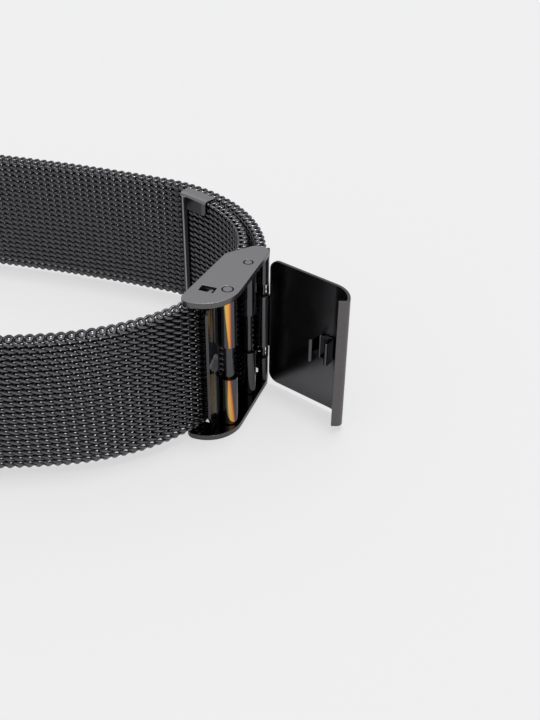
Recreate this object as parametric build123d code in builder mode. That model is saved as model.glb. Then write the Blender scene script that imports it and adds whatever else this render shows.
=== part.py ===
"""A woven wire mesh watch band, standing on its long edge, with its sliding clasp's cover open.

The plan of the band lies in XY and its width runs up along Z. The origin is on the outer face
of the lower cheek, midway between the clasp's two cross pins. +X points out of the clasp, away
from the wrist, and +Y points along the clasp to the end where the short half is hooked in.

The long half runs from its lug round the front, through the clasp, and ends as a tail inside
the loop. The short half starts at the clasp and ends in the other lug. The cover is hinged on
the short half's end. Paths are walked as straight runs and tangent bends, so every strip of
mesh or sheet is one outline with two even walls.
"""

import os
from math import atan2, copysign, cos, degrees, radians, sin, sqrt

from build123d import *

# Woven mesh band, in mm and degrees
band_width = 20.0
band_thick = 1.7
loop_r = 22.95  # mid thickness of the short half where it rounds the wrist beside the clasp
flex_gap = 0.05  # play between two stretches of mesh that bend at a joint
tail_gap = 0.25  # between the tail and the short half that lies over it

# Bends of the band outside the clasp, as a share of loop_r with the turn in degrees
middle_bend_shares = ((1.13, 15.5), (1.48, 13.0), (4.8, 4.0), (4.15, 7.0))
long_end_bend_shares = ((4.15, 24.0),)
short_end_bend_shares = ((9.6, 7.0), (5.65, 11.0))
tail_bend_share = 0.76  # of the tail's radius under the short half
tail_end_angle = 76.5  # where the tail stops, seen from the middle of the loop
long_end_run = 6.0
short_end_run = 4.0

# Clasp frame
cheek_thick = 0.8
side_gap = 0.2  # between a cheek and the edge of the mesh
clasp_length = 16.4
clasp_depth = 6.5
clasp_outer = 2.9  # how far the cheeks' outer edge stands out from the origin
nose_r = 4.9
cheek_corner_r = 1.3
cheek_slope_r = 1.6
cheek_outline_shares = ((1.0, 0.5), (1.0, -0.5), (0.0, -0.5), (0.185, 0.287), (0.646, 0.5))
channel_x = -1.15  # mid thickness of the mesh inside the clasp
channel_y = 0.4  # where the mesh starts to bend towards the front
first_bend_r = 16.52
first_bend_turn = 23.5
mouth_bend_r = 25.93
mouth_bend_turn = 11.5

# Cross pins
pin_x = 1.3
pin_spacing = 7.2
latch_pin_r = 0.7
hook_pin_r = 0.6
rivet_gap = 0.03  # round a pin's end in its cheek
running_gap = 0.05  # between a pin and the sheet curled round it

# Sheet metal
sheet = 0.4
leaf_play = 0.15  # between a leaf's edge and a cheek

# Base plate under the mesh
base_turn = 16.5
base_run = 4.0

# Locking flap
flap_curl_turn = 300.0
flap_bend_r = 3.2
flap_bend_turn = 24.0
flap_run = 2.0
flap_notch_width = 5.2
flap_notch_clear = 0.05  # past the curl

# Clamp bar and the slots that guide it
bar_angle = 15.8  # round the mesh's first bend
bar_length = 1.0
bar_thick = 0.65
bar_gap = 0.05
bar_play = 0.1  # between the bar and a cheek
tab_length = 0.9
tab_thick = 0.45
tab_reach = 0.5
slot_width = 2.0
slot_length = 1.3
slot_x = -1.07
slot_y = -4.45

# Hook leaf, from the hook pin to the end of the short half
hook_turn = 215.0
hook_run = 3.4
hook_bend_r = 2.6
hook_lean = 18.0  # of the short half where it leaves the clasp
hook_notch_width = 6.2
hook_notch_clear = 0.15  # past the curl
grip_length = 1.3  # of the leaves over the mesh

# Cover and its hinge
hinge_pin_r = 0.3
hinge_gap = 0.02
hinge_arm_run = 1.27
hinge_arm_bend_r = 1.0
knuckle_turn = 280.0
lug_height = 3.9
knuckle_height = 8.4
knuckle_clear = 0.1
window_edge = 0.35  # of sheet left between the window and the end of the mesh
cover_open_angle = 72.0
cover_bend_r = 3.77
cover_bend_turn = 62.0
lip_bend_r = 0.55
lip_bend_turn = 80.0
lip_run = 0.8
cover_corner_r = 1.5

# Spring clip inside the cover, which snaps over the latch pin
clip_sheet = 0.2
clip_width = 3.6
clip_gap = 0.05
clip_foot = 1.2
clip_bend_r = 0.3
clip_hairpin_r = 0.2
clip_crest = 1.45  # of the doubled leg, measured inwards from the hinge axis
clip_wall_turn = 84.0
clip_wall = 1.1
clip_flare_r = 0.4
clip_flare_turn = 35.0
clip_flare = 0.35

# Cap on the end of the tail
cap_sheet = 0.3
cap_length = 5.1
cap_flange = 2.2
cap_strip = 0.9

# Lugs and spring bars
lug_r = 1.4
lug_bore_r = 0.85
barrel_r = 0.75
barrel_bore_r = 0.6
barrel_wall = 0.3
barrel_gap = 0.2  # between a barrel and the flange of a tip pressed all the way in
tip_nib_r = 0.4
tip_flange_r = 0.7
tip_flange = 0.4
tip_stem_r = 0.2
tip_stem_gap = 0.03
tip_head_r = 0.57
tip_head = 0.8
tip_travel = 1.0
spring_r = 0.57
spring_wire = 0.2

# Heights and places that the sizes above settle
cheek_gap = band_width + 2 * side_gap
overall_width = cheek_gap + 2 * cheek_thick
mid_plane = Plane.XY.offset(overall_width / 2)
leaf_width = cheek_gap - 2 * leaf_play
latch_pin_at = (pin_x, -pin_spacing / 2)
hook_pin_at = (pin_x, pin_spacing / 2)
leaf_offset = (band_thick + sheet) / 2  # from mid mesh to the middle of a sheet on its face


def walk(start, moves):
    """Each stop (x, y, heading) along straight runs (length, 0) and tangent bends (radius, turn)."""
    stops = [start]
    for size, turn in moves:
        x, y, heading = stops[-1]
        before = radians(heading)
        after = radians(heading + turn)
        if turn == 0:
            step_x = size * cos(before)
            step_y = size * sin(before)
        else:
            side = copysign(1, turn)
            step_x = side * size * (sin(after) - sin(before))
            step_y = side * size * (cos(before) - cos(after))
        stops.append((x + step_x, y + step_y, heading + turn))
    return stops


def beside(stop, offset):
    """The point that lies to the left of a stop, or to its right where the offset is negative."""
    x, y, heading = stop
    return (x - offset * sin(radians(heading)), y + offset * cos(radians(heading)))


def strip(start, moves, thick, shift=0):
    """A face of even thickness along a path, with its middle shifted to the left of the path."""
    stops = walk(start, moves)
    walls = (shift - thick / 2, shift + thick / 2)
    with BuildSketch() as face:
        with BuildLine():
            for wall in walls:
                for stop, after, (size, turn) in zip(stops, stops[1:], moves):
                    if turn == 0:
                        Line(beside(stop, wall), beside(after, wall))
                    else:
                        ahead = (cos(radians(stop[2])), sin(radians(stop[2])))
                        JernArc(beside(stop, wall), ahead, size - wall * copysign(1, turn), turn)
            for stop in (stops[0], stops[-1]):
                Line(beside(stop, walls[0]), beside(stop, walls[1]))
        make_face()
    return face.sketch


def bends(shares, side):
    """Moves from a table of bends, turning left for side 1 and right for side -1."""
    return [(share * loop_r, side * turn) for share, turn in shares]


# Path of the hook leaf from the hook pin to where the short half of the mesh starts
hook_mid_r = hook_pin_r + running_gap + sheet / 2
hook_start = (pin_x - hook_mid_r, pin_spacing / 2, 90)
hook_moves = [(hook_run, 0), (hook_bend_r, hook_lean)]
hook_end = walk(hook_start, hook_moves)[-1]

# Path of the short half, and the middle of the loop that it makes
short_start = (*beside(hook_end, -leaf_offset), hook_end[2])
loop_x, loop_y = beside(short_start, loop_r)
short_loop_moves = [(loop_r, 90 - hook_lean)]
short_flex = walk(short_start, short_loop_moves)[-1]
short_end_moves = bends(short_end_bend_shares, 1) + [(short_end_run + lug_r, 0)]
short_lug = walk(short_flex, short_end_moves)[-1]
grip_turn = degrees(grip_length / loop_r)

# Path of the long half from inside the clasp to its lug
front_start = (channel_x, channel_y, -90)
front_moves = [(first_bend_r, -first_bend_turn), (mouth_bend_r, -mouth_bend_turn)]
first_flex = walk(front_start, front_moves)[-1]
middle_moves = bends(middle_bend_shares, -1)
second_flex = walk(first_flex, middle_moves)[-1]
long_end_moves = bends(long_end_bend_shares, -1) + [(long_end_run + lug_r, 0)]
long_lug = walk(second_flex, long_end_moves)[-1]

# Path of the tail: straight up the clasp, one bend, then round the loop under the short half
tail_r = loop_r - band_thick - tail_gap
tail_bend_r = tail_bend_share * tail_r
tail_bend_x = channel_x - tail_bend_r
tail_bend_rise = sqrt((tail_r - tail_bend_r) ** 2 - (tail_bend_x - loop_x) ** 2)
tail_bend_turn = degrees(atan2(tail_bend_rise, tail_bend_x - loop_x))
tail_start = (channel_x, channel_y, 90)
tail_moves = [
    (loop_y + tail_bend_rise - channel_y, 0),
    (tail_bend_r, tail_bend_turn),
    (tail_r, tail_end_angle - tail_bend_turn),
]
tail_end = walk(tail_start, tail_moves)[-1]

# Hinge of the cover, carried by the outer leaf on the short half
knuckle_r = hinge_pin_r + hinge_gap + sheet / 2
knuckle_outer_r = knuckle_r + sheet / 2
arm_start = (*beside(short_start, -leaf_offset), short_start[2] - 180)
arm_moves = [(hinge_arm_run, 0), (hinge_arm_bend_r, -hook_lean)]
arm_end = walk(arm_start, arm_moves)[-1]
hinge_at = beside(arm_end, -knuckle_r)
cover_heading = cover_open_angle - 90


def on_cover(along, inward):
    """A point on the open cover, measured along it from its hinge and in from the hinge's axis."""
    return beside(walk((*hinge_at, cover_heading), [(along, 0)])[-1], -inward)


def turned(at, steps):
    """A turned bar made of (radius, lower height, upper height) steps, measured from mid width."""
    with BuildPart() as bar:
        for radius, low, high in steps:
            with BuildSketch(mid_plane.offset(low)):
                with Locations(at):
                    Circle(radius)
            extrude(amount=high - low)
    return bar.part


def save(piece, name):
    """Label a piece and write it under its name."""
    piece.label = name
    export_step(piece, f"parts/{name}.step")


os.makedirs("parts", exist_ok=True)

# Cheeks, one at each edge of the band
cheek_points = [
    (clasp_outer - clasp_depth * (1 - across), clasp_length * along)
    for across, along in cheek_outline_shares
]
cheek_radii = (cheek_corner_r, nose_r, cheek_corner_r, cheek_corner_r, cheek_slope_r)
cross_pins = (
    ("latch_pin", latch_pin_at, latch_pin_r),
    ("hook_pin", hook_pin_at, hook_pin_r),
)
for cheek_name, cheek_bottom in (
    ("lower_cheek", 0),
    ("upper_cheek", overall_width - cheek_thick),
):
    with BuildPart() as cheek:
        with BuildSketch(Plane.XY.offset(cheek_bottom)) as cheek_face:
            Polygon(*cheek_points, align=None)
            for point, radius in zip(cheek_points, cheek_radii):
                fillet(cheek_face.vertices().sort_by_distance(point)[0], radius)
            for _, at, radius in cross_pins:
                with Locations(at):
                    Circle(radius + rivet_gap, mode=Mode.SUBTRACT)
            with Locations((slot_x, slot_y)):
                Rectangle(slot_width, slot_length, mode=Mode.SUBTRACT)
        extrude(amount=cheek_thick)
    save(cheek.part, cheek_name)

# Base plate between the cheeks, along the mesh's inner face
with BuildPart() as base_plate:
    with BuildSketch(mid_plane):
        add(strip(front_start, [(first_bend_r, -base_turn)], sheet, -leaf_offset))
        add(strip(tail_start, [(base_run, 0)], sheet, leaf_offset))
    extrude(amount=cheek_gap / 2, both=True)
save(base_plate.part, "base_plate")

# Cross pins, riveted through both cheeks
for pin_name, at, radius in cross_pins:
    save(turned(at, [(radius, -overall_width / 2, overall_width / 2)]), pin_name)

# Locking flap, curled round the latch pin and notched where the cover's clip reaches the pin
flap_mid_r = latch_pin_r + running_gap + sheet / 2
flap_outer_r = flap_mid_r + sheet / 2
flap_root = (pin_x - flap_mid_r, -pin_spacing / 2, -90)
flap_lead = walk(flap_root, [(flap_mid_r, 360 - flap_curl_turn)])[-1]
flap_notch_size = 2 * (flap_mid_r + sheet)
with BuildPart() as locking_flap:
    with BuildSketch(mid_plane):
        add(strip(flap_lead, [(flap_mid_r, flap_curl_turn)], sheet))
        add(strip(flap_root, [(flap_bend_r, -flap_bend_turn), (flap_run, 0)], sheet))
    extrude(amount=leaf_width / 2, both=True)
    with BuildSketch(mid_plane):
        with Locations((pin_x, -pin_spacing / 2 - flap_outer_r - flap_notch_clear)):
            Rectangle(flap_notch_size, flap_notch_size, align=(Align.CENTER, Align.MIN))
    extrude(amount=flap_notch_width / 2, both=True, mode=Mode.SUBTRACT)
save(locking_flap.part, "locking_flap")

# Clamp bar on the mesh's outer face, with a tab at each end in the cheek's slot
bar_at = walk(front_start, [(first_bend_r, -bar_angle)])[-1]
bar_shift = band_thick / 2 + bar_gap + bar_thick / 2
tab_shift = bar_shift - (bar_thick - tab_thick) / 2
with BuildPart() as clamp_bar:
    for length, thick, shift, reach in (
        (bar_length, bar_thick, bar_shift, cheek_gap / 2 - bar_play),
        (tab_length, tab_thick, tab_shift, cheek_gap / 2 + tab_reach),
    ):
        bar_lead = walk(bar_at, [(-length / 2, 0)])[-1]
        with BuildSketch(mid_plane):
            add(strip(bar_lead, [(length, 0)], thick, shift))
        extrude(amount=reach, both=True)
save(clamp_bar.part, "clamp_bar")

# Hook leaf: an arm with a notched hook round the hook pin, gripping the mesh's inner face
hook_outer_r = hook_mid_r + sheet / 2
hook_notch_size = 2 * (hook_mid_r + sheet)
with BuildPart() as hook_leaf:
    with BuildSketch(mid_plane):
        add(strip((hook_start[0], hook_start[1], -90), [(hook_mid_r, hook_turn)], sheet))
        add(strip(hook_start, hook_moves, sheet))
        add(strip(short_start, [(loop_r, grip_turn)], sheet, leaf_offset))
    extrude(amount=leaf_width / 2, both=True)
    with BuildSketch(mid_plane):
        with Locations((pin_x, pin_spacing / 2 + hook_outer_r + hook_notch_clear)):
            Rectangle(hook_notch_size, hook_notch_size, align=(Align.CENTER, Align.MAX))
    extrude(amount=hook_notch_width / 2, both=True, mode=Mode.SUBTRACT)
save(hook_leaf.part, "hook_leaf")

# Hinge leaf on the mesh's outer face, with a knuckle at each edge and a window between them
window_at = walk(arm_start, [(window_edge, 0)])[-1][:2]
window_size = 4 * knuckle_outer_r
with BuildPart() as hinge_leaf:
    with BuildSketch(mid_plane):
        add(strip(short_start, [(loop_r, grip_turn)], sheet, -leaf_offset))
        add(strip(arm_start, arm_moves + [(knuckle_r, -knuckle_turn)], sheet))
    extrude(amount=leaf_width / 2, both=True)
    with BuildSketch(mid_plane):
        with Locations(window_at):
            Rectangle(window_size, window_size, align=(Align.CENTER, Align.MAX))
    extrude(amount=leaf_width / 2 - lug_height, both=True, mode=Mode.SUBTRACT)
save(hinge_leaf.part, "hinge_leaf")

# Pin of the cover's hinge
save(turned(hinge_at, [(hinge_pin_r, -leaf_width / 2, leaf_width / 2)]), "cover_hinge_pin")

# Reach of the cover's clip from the hinge to the latch pin, which settles how far the cover is flat
pin_along = hinge_at[1] - latch_pin_at[1]
pin_inward = hinge_at[0] - latch_pin_at[0]
clip_reach = latch_pin_r + clip_gap + clip_sheet / 2
clip_leg = pin_along + clip_reach + 2 * clip_hairpin_r
cover_run = clip_leg - clip_bend_r

# Cover, open, with its middle knuckle and the lip that is rolled in at its free end
cover_root = (*on_cover(0, -knuckle_r), cover_heading)
cover_lead = walk(cover_root, [(knuckle_r, knuckle_turn - 360)])[-1]
cover_edge = knuckle_outer_r + knuckle_clear
cover_start = walk(cover_root, [(cover_edge, 0)])[-1]
lip_moves = [(cover_bend_r, -cover_bend_turn), (lip_bend_r, -lip_bend_turn), (lip_run, 0)]
with BuildPart() as cover_plate:
    with BuildSketch(mid_plane):
        add(strip(cover_start, [(cover_run - cover_edge, 0)] + lip_moves, sheet))
    extrude(amount=leaf_width / 2, both=True)
    cover_end = cover_plate.faces().sort_by_distance((*cover_start[:2], overall_width / 2))[0]
    fillet(cover_end.edges().filter_by(Plane.XY), cover_corner_r)
    with BuildSketch(mid_plane):
        add(strip(cover_lead, [(knuckle_r, -knuckle_turn)], sheet))
        add(strip(cover_root, [(cover_edge, 0)], sheet))
    extrude(amount=knuckle_height / 2, both=True)
save(cover_plate.part, "cover_plate")

# Spring clip on the cover's inner face: a doubled leg, a floor and a flared wall round the pin
clip_floor_at = pin_inward - clip_reach
clip_foot_at = sheet / 2 - knuckle_r + clip_sheet / 2
clip_turn_at = clip_crest - clip_sheet / 2 - clip_hairpin_r
clip_start = on_cover(cover_run - clip_foot, clip_foot_at)
clip_moves = [
    (clip_foot, 0),
    (clip_bend_r, -90),
    (clip_turn_at - clip_foot_at - clip_bend_r, 0),
    (clip_hairpin_r, -180),
    (clip_turn_at - clip_floor_at - clip_bend_r, 0),
    (clip_bend_r, 90),
    (2 * (clip_reach - clip_bend_r), 0),
    (clip_bend_r, clip_wall_turn),
    (clip_wall, 0),
    (clip_flare_r, -clip_flare_turn),
    (clip_flare, 0),
]
with BuildPart() as cover_clip:
    with BuildSketch(mid_plane):
        add(strip((*clip_start, cover_heading), clip_moves, clip_sheet))
    extrude(amount=clip_width / 2, both=True)
save(cover_clip.part, "cover_clip")

# Woven mesh, in five stretches: a round end of one turns in the hollow end of the next
mesh_pieces = (
    ("long_mesh_clasp", ((front_start, front_moves), (tail_start, tail_moves)), first_flex, None),
    ("long_mesh_middle", ((first_flex, middle_moves),), second_flex, first_flex),
    ("long_mesh_end", ((second_flex, long_end_moves),), None, second_flex),
    ("short_mesh_clasp", ((short_start, short_loop_moves),), short_flex, None),
    ("short_mesh_end", ((short_flex, short_end_moves),), None, short_flex),
)
mesh_lugs = {"long_mesh_end": long_lug, "short_mesh_end": short_lug}
for mesh_name, stretches, round_end, hollow_end in mesh_pieces:
    with BuildPart() as mesh:
        with BuildSketch(mid_plane):
            for stretch_start, stretch_moves in stretches:
                add(strip(stretch_start, stretch_moves, band_thick))
            if round_end:
                with Locations(round_end[:2]):
                    Circle(band_thick / 2)
            if hollow_end:
                with Locations(hollow_end[:2]):
                    Circle(band_thick / 2 + flex_gap, mode=Mode.SUBTRACT)
            if mesh_name in mesh_lugs:
                with Locations(mesh_lugs[mesh_name][:2]):
                    Circle(lug_r, mode=Mode.SUBTRACT)
        extrude(amount=band_width / 2, both=True)
    save(mesh.part, mesh_name)

# Cap on the tail's end: a wall across the end, an ear over each edge and a windowed inner sheet
cap_turn = degrees(cap_length / tail_r)
cap_strip_turn = degrees(cap_strip / tail_r)
cap_start = walk(tail_start, tail_moves + [(tail_r, 360 - cap_turn)])[-1]
cap_shift = (band_thick + cap_sheet) / 2
with BuildPart() as tail_cap:
    with BuildSketch(mid_plane):
        add(strip(cap_start, [(tail_r, cap_turn)], cap_sheet, cap_shift))
        add(strip(tail_end, [(cap_sheet, 0)], band_thick + cap_sheet, cap_sheet / 2))
    extrude(amount=band_width / 2 + cap_sheet, both=True)
    with BuildSketch(mid_plane):
        add(strip(cap_start, [(tail_r, cap_turn - cap_strip_turn)], 2 * cap_sheet, cap_shift))
    extrude(amount=band_width / 2 - cap_flange, both=True, mode=Mode.SUBTRACT)
    for ear_bottom in (band_width / 2, -band_width / 2 - cap_sheet):
        with BuildSketch(mid_plane.offset(ear_bottom)):
            add(strip(cap_start, [(tail_r, cap_turn)], band_thick + cap_sheet, cap_sheet / 2))
        extrude(amount=cap_sheet)
save(tail_cap.part, "tail_end_cap")

# Lug tubes, and the spring bar in each: a barrel, its spring and two sprung tips
flange_bottom = band_width / 2 - tip_flange
barrel_end = flange_bottom - tip_travel - barrel_gap
barrel_inner = barrel_end - barrel_wall
spring_end = barrel_inner - tip_head - tip_travel
for half, lug in (("long", long_lug), ("short", short_lug)):
    for piece_name, radius, reach, bore_r, bore_reach in (
        ("lug_tube", lug_r, band_width / 2, lug_bore_r, band_width / 2),
        ("spring_bar_barrel", barrel_r, barrel_end, barrel_bore_r, barrel_inner),
        ("spring_bar_spring", spring_r, spring_end, spring_r - spring_wire, spring_end),
    ):
        with BuildPart() as tube:
            with BuildSketch(mid_plane):
                with Locations(lug[:2]):
                    Circle(radius)
            extrude(amount=reach, both=True)
            with BuildSketch(mid_plane):
                with Locations(lug[:2]):
                    Circle(bore_r)
            extrude(amount=bore_reach, both=True, mode=Mode.SUBTRACT)
            with BuildSketch(mid_plane):
                with Locations(lug[:2]):
                    Circle(tip_stem_r + tip_stem_gap)
            extrude(amount=reach, both=True, mode=Mode.SUBTRACT)
        save(tube.part, f"{half}_{piece_name}")
    for tip_name, side in (("upper", 1), ("lower", -1)):
        tip_steps = [
            (tip_head_r, side * (barrel_inner - tip_head), side * barrel_inner),
            (tip_stem_r, side * barrel_inner, side * flange_bottom),
            (tip_flange_r, side * flange_bottom, side * band_width / 2),
            (tip_nib_r, side * band_width / 2, side * overall_width / 2),
        ]
        save(turned(lug[:2], tip_steps), f"{half}_{tip_name}_tip")
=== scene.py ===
# %% [markdown]
# # A woven mesh watch band
#
# The band stands on its long edge with the cover of its sliding clasp open. The CAD model gives
# every piece its place and its joints. This file gives them their looks: the weave as real wire
# coils, the sheet metal with rolled edges, and the finish of each metal. All shapes are worked
# out in millimetres and only become metres when they are put into a mesh.

import math

import bmesh
import bpy
import numpy as np
from mathutils import Matrix


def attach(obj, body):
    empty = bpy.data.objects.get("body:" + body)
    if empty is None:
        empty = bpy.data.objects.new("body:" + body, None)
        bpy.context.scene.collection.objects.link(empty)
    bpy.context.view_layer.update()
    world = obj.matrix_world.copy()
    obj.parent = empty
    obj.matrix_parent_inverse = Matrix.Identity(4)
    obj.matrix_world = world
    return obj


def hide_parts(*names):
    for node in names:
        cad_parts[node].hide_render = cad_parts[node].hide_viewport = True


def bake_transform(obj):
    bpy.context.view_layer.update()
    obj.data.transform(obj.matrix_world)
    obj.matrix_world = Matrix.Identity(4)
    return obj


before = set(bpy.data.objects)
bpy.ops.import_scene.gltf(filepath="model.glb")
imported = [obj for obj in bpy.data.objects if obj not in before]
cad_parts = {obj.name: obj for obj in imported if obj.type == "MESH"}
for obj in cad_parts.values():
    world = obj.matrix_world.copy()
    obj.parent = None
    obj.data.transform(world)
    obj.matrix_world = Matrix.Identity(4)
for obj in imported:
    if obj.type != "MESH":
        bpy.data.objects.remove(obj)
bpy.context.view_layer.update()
MM = 0.001

# %% [markdown]
# ## Camera
#
# The photograph looks down at about 36 degrees from in front of the clasp. An unturned camera
# looks down along -Z. Three turns aim it: its own roll first, then up from straight down to its
# pitch below the horizon, then round to its heading. The lens follows from the focal length,
# which was measured in pixels against the picture's height.


# %% Camera at the photograph's angle
def stand(name, data):
    """Puts a new object that shows the data into the scene."""
    item = bpy.data.objects.new(name, data)
    bpy.context.scene.collection.objects.link(item)
    return item


CAMERA_AT = (40.95, -98.58, 85.58)
CAMERA_HEADING = math.atan2(0.336, 0.942)
CAMERA_PITCH = math.radians(35.93)
CAMERA_ROLL = math.radians(0.79)
FOCAL_PIXELS = 961.1
PICTURE_HEIGHT = 720
SENSOR_HEIGHT = 24.0

camera_data = bpy.data.cameras.new("photo_camera")
camera_data.sensor_fit = "VERTICAL"
camera_data.sensor_height = SENSOR_HEIGHT
camera_data.lens = FOCAL_PIXELS / PICTURE_HEIGHT * SENSOR_HEIGHT
camera_data.clip_start = MM
camera = stand("photo_camera", camera_data)
aim = Matrix.Translation(np.array(CAMERA_AT) * MM)
for angle, axis in ((CAMERA_HEADING, "Z"), (math.pi / 2 - CAMERA_PITCH, "X"), (CAMERA_ROLL, "Z")):
    aim = aim @ Matrix.Rotation(angle, 4, axis)
camera.matrix_world = aim
bpy.context.scene.camera = camera
print("lens", round(camera_data.lens, 2), "mm on a sensor", SENSOR_HEIGHT, "mm high")

# %% [markdown]
# ## Node trees
#
# The sky and every metal is a tree of nodes. A tree takes a line for each node, each setting and
# each link, so a few helpers keep the trees below short enough to read.


# %% Helpers for node trees
def add(tree, kind, values=None, **settings):
    """A node of one kind with its settings and the values of its unlinked inputs."""
    node = tree.nodes.new(kind)
    for label, value in settings.items():
        setattr(node, label, value)
    for label, value in (values or {}).items():
        node.inputs[label].default_value = value
    return node


def connect(tree, *links):
    """Links an output of one node to an input of another, for each (node, output, node, input)."""
    for source, given, target, taken in links:
        tree.links.new(source.outputs[given], target.inputs[taken])


def mixed(tree, kind, share, one, two):
    """A socket that gives one where the share is 0 and two where it is 1."""
    mix = add(tree, "ShaderNodeMix", data_type=kind)
    for source, target in zip((share, one, two), [socket for socket in mix.inputs if socket.enabled]):
        tree.links.new(source, target)
    return [socket for socket in mix.outputs if socket.enabled][0]


def color_ramp(tree, stops):
    """A ramp through colours, given as (position, colour)."""
    ramp = add(tree, "ShaderNodeValToRGB")
    while len(ramp.color_ramp.elements) < len(stops):
        ramp.color_ramp.elements.new(0.5)
    for element, (position, color) in zip(ramp.color_ramp.elements, stops):
        element.position = position
        element.color = color
    return ramp


def new_group(name, inputs, outputs):
    """An empty node group with named sockets, its input node and its output node."""
    group = bpy.data.node_groups.new(name, "ShaderNodeTree")
    for in_out, sockets in (("INPUT", inputs), ("OUTPUT", outputs)):
        for label, kind in sockets.items():
            group.interface.new_socket(label, in_out=in_out, socket_type="NodeSocket" + kind)
    return group, group.nodes.new("NodeGroupInput"), group.nodes.new("NodeGroupOutput")


# %% [markdown]
# ## Floor and light
#
# A pale floor with an even tone needs light that is the same everywhere: a sky and a sun, which
# don't fall off with distance as a lamp does. The sun is nearly overhead and leans towards the
# camera, so the band's shadow stays a narrow strip. The sky is brighter overhead, as under a
# light tent. The camera itself sees the floor's tone there, so the horizon doesn't show.

# %% Sky
FLOOR_COLOR = (0.863, 0.863, 0.866, 1)
SKY_COLORS = ((0.0, (0.25, 0.255, 0.27, 1)), (0.75, (1.0, 1.0, 1.0, 1)))  # from the horizon up
SKY_STRENGTH = 0.78


def make_sky():
    """A world whose light is a gradient from the horizon up, and which the camera sees as floor."""
    world = bpy.data.worlds.new("light_tent")
    world.use_nodes = True
    tree = world.node_tree
    tree.nodes.clear()
    where = add(tree, "ShaderNodeTexCoord")
    split = add(tree, "ShaderNodeSeparateXYZ")
    ramp = color_ramp(tree, SKY_COLORS)
    light = add(tree, "ShaderNodeBackground", {"Strength": SKY_STRENGTH})
    backdrop = add(tree, "ShaderNodeBackground", {"Color": FLOOR_COLOR})
    rays = add(tree, "ShaderNodeLightPath")
    either = add(tree, "ShaderNodeMixShader")
    output = add(tree, "ShaderNodeOutputWorld")
    connect(
        tree,
        (where, "Generated", split, 0),
        (split, "Z", ramp, "Fac"),
        (ramp, "Color", light, "Color"),
        (rays, "Is Camera Ray", either, 0),
        (light, 0, either, 1),
        (backdrop, 0, either, 2),
        (either, 0, output, 0),
    )
    return world


bpy.context.scene.view_settings.view_transform = "Standard"
bpy.context.scene.world = make_sky()
print("sky strength", SKY_STRENGTH)

# %% Sun
SUN_STRENGTH = 1.1
SUN_ANGLE = math.radians(12)
SUN_TURN = (math.radians(-5), math.radians(2), 0)

sun_data = bpy.data.lights.new("wide_sun", "SUN")
sun_data.energy = SUN_STRENGTH
sun_data.angle = SUN_ANGLE
stand("wide_sun", sun_data).rotation_euler = SUN_TURN
print("sun strength", SUN_STRENGTH)

# %% [markdown]
# ## Putting a shape into a mesh
#
# Every shape below is a grid of points. The quads between them come from index arithmetic on the
# whole grid at once, which is far faster than adding faces one by one, and `foreach_set` copies
# the arrays into the mesh in one step.


# %% A mesh from arrays
def put(name, points, quads, caps=None, **values):
    """An object from points in millimetres, quads, caps of more corners, and values of the points."""
    faces = [quads] if caps is None else [quads, caps]
    used, corners = np.unique(np.concatenate([some.ravel() for some in faces]), return_inverse=True)
    sizes = np.concatenate([np.full(len(some), some.shape[1]) for some in faces])
    mesh = bpy.data.meshes.new(name)
    mesh.vertices.add(len(used))
    mesh.vertices.foreach_set("co", (points.reshape(-1, 3)[used] * MM).astype(np.float32).ravel())
    mesh.loops.add(len(corners))
    mesh.loops.foreach_set("vertex_index", corners.astype(np.int32))
    mesh.polygons.add(len(sizes))
    mesh.polygons.foreach_set("loop_start", (np.cumsum(sizes) - sizes).astype(np.int32))
    mesh.polygons.foreach_set("use_smooth", np.ones(len(sizes), bool))
    mesh.update(calc_edges=True)
    mesh.validate()
    for label, value in values.items():
        attribute = mesh.attributes.new(label, "FLOAT", "POINT")
        attribute.data.foreach_set("value", value.ravel()[used].astype(np.float32))
    return stand(name, mesh)


def outward(points, quads):
    """The quads, turned round if the solid they close has a negative volume, so that they face out."""
    a, b, c, d = (points.reshape(-1, 3)[quads[:, k]] for k in range(4))
    volume = np.einsum("ij,ij->", a, np.cross(b, c)) + np.einsum("ij,ij->", a, np.cross(c, d))
    return quads if volume > 0 else quads[:, ::-1]


# %% Floor
FLOOR_REACH = 3000
FLOOR_DEPTH = 0.01
FLOOR_OWN_LIGHT = 0.66
FLOOR_IN_GLOSS = 0.2


def make_floor():
    """A square plane just under the band, far wider than the camera's view.

    Seen by the camera or in a gloss, part of its light is its own colour, so its tone stays even
    and only the shadow at the band's foot shows.
    """
    corners = FLOOR_REACH * np.array([(-1, -1, 0), (1, -1, 0), (1, 1, 0), (-1, 1, 0)])
    floor = put("floor", corners - (0, 0, FLOOR_DEPTH), np.arange(4)[None])
    paper = bpy.data.materials.new("pale_paper")
    paper.use_nodes = True
    tree = paper.node_tree
    shader = tree.nodes["Principled BSDF"]
    shader.inputs["Base Color"].default_value = FLOOR_COLOR
    shader.inputs["Roughness"].default_value = 0.9
    shader.inputs["Specular IOR Level"].default_value = 0.1
    rays = add(tree, "ShaderNodeLightPath")
    in_view = add(tree, "ShaderNodeMath", {1: FLOOR_OWN_LIGHT}, operation="MULTIPLY")
    share = add(tree, "ShaderNodeMath", {1: FLOOR_IN_GLOSS}, operation="MULTIPLY_ADD")
    own = add(tree, "ShaderNodeEmission", {"Color": FLOOR_COLOR})
    mix = add(tree, "ShaderNodeMixShader")
    connect(
        tree,
        (rays, "Is Camera Ray", in_view, 0),
        (rays, "Is Glossy Ray", share, 0),
        (in_view, 0, share, 2),
        (share, 0, mix, 0),
        (shader, 0, mix, 1),
        (own, 0, mix, 2),
        (mix, 0, tree.nodes["Material Output"], "Surface"),
    )
    floor.data.materials.append(paper)
    return floor


print("floor", [round(side, 2) for side in make_floor().dimensions], "m")

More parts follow.
